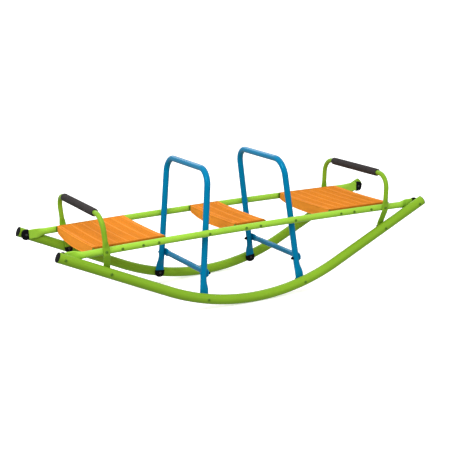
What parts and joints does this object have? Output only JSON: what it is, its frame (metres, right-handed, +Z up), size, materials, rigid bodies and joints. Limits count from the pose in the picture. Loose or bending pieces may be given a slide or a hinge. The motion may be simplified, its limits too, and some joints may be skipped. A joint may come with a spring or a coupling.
{
  "type": "seesaw",
  "caption": "Rocking seesaw for children: bent tube rockers with straight side rails, fabric sleeve seats, upright hoops and padded end handles.",
  "frame": {"origin": "centre of the footprint at floor level, under the middle of the rockers", "axes": "+X along the length, +Y across to the back rail, +Z up"},
  "size_m": [1.5614, 0.499, 0.5302],
  "materials": {
    "green_steel": "gloss lime green powder coat",
    "blue_steel": "gloss blue powder coat",
    "bolt_steel": "domed bolts and studs, coated green",
    "black_nut": "black covered bolt and cap nut",
    "black_plastic": "black moulded plastic caps and plugs",
    "grip_foam": "dark grey closed-cell foam sleeve",
    "orange_fabric": "orange woven polyester sleeve"
  },
  "bodies": {
    "root": {"brace_bolt_back_left": "black_nut", "brace_bolt_back_right": "black_nut", "brace_bolt_front_left": "black_nut", "brace_bolt_front_right": "black_nut", "cross_brace_left": "blue_steel", "cross_brace_right": "blue_steel", "foam_grip_left": "grip_foam", "foam_grip_right": "grip_foam", "handle_cap_back_left": "black_plastic", "handle_cap_back_right": "black_plastic", "handle_cap_front_left": "black_plastic", "handle_cap_front_right": "black_plastic", "handle_foot_bolt_back_left": "bolt_steel", "handle_foot_bolt_back_right": "bolt_steel", "handle_foot_bolt_front_left": "bolt_steel", "handle_foot_bolt_front_right": "bolt_steel", "handle_left": "green_steel", "handle_right": "green_steel", "hoop_cap_back_left": "black_plastic", "hoop_cap_back_right": "black_plastic", "hoop_cap_front_left": "black_plastic", "hoop_cap_front_right": "black_plastic", "hoop_foot_bolt_back_left": "bolt_steel", "hoop_foot_bolt_back_right": "bolt_steel", "hoop_foot_bolt_front_left": "bolt_steel", "hoop_foot_bolt_front_right": "bolt_steel", "hoop_left": "blue_steel", "hoop_rail_bolt_back_left": "bolt_steel", "hoop_rail_bolt_back_right": "bolt_steel", "hoop_rail_bolt_front_left": "bolt_steel", "hoop_rail_bolt_front_right": "bolt_steel", "hoop_right": "blue_steel", "rail_end_bolt_back_left": "bolt_steel", "rail_end_bolt_back_right": "bolt_steel", "rail_end_bolt_front_left": "bolt_steel", "rail_end_bolt_front_right": "bolt_steel", "rocker_end_plug_back_left": "black_plastic", "rocker_end_plug_back_right": "black_plastic", "rocker_end_plug_front_left": "black_plastic", "rocker_end_plug_front_right": "black_plastic", "rocker_rail_back": "green_steel", "rocker_rail_front": "green_steel", "seat_left": "orange_fabric", "seat_left_studs_back": "bolt_steel", "seat_left_studs_front": "bolt_steel", "seat_middle": "orange_fabric", "seat_middle_studs_back": "bolt_steel", "seat_middle_studs_front": "bolt_steel", "seat_right": "orange_fabric", "seat_right_studs_back": "bolt_steel", "seat_right_studs_front": "bolt_steel", "side_rail_back": "green_steel", "side_rail_cap_back_left": "black_plastic", "side_rail_cap_back_right": "black_plastic", "side_rail_cap_front_left": "black_plastic", "side_rail_cap_front_right": "black_plastic", "side_rail_front": "green_steel"}
  },
  "joints": []
}
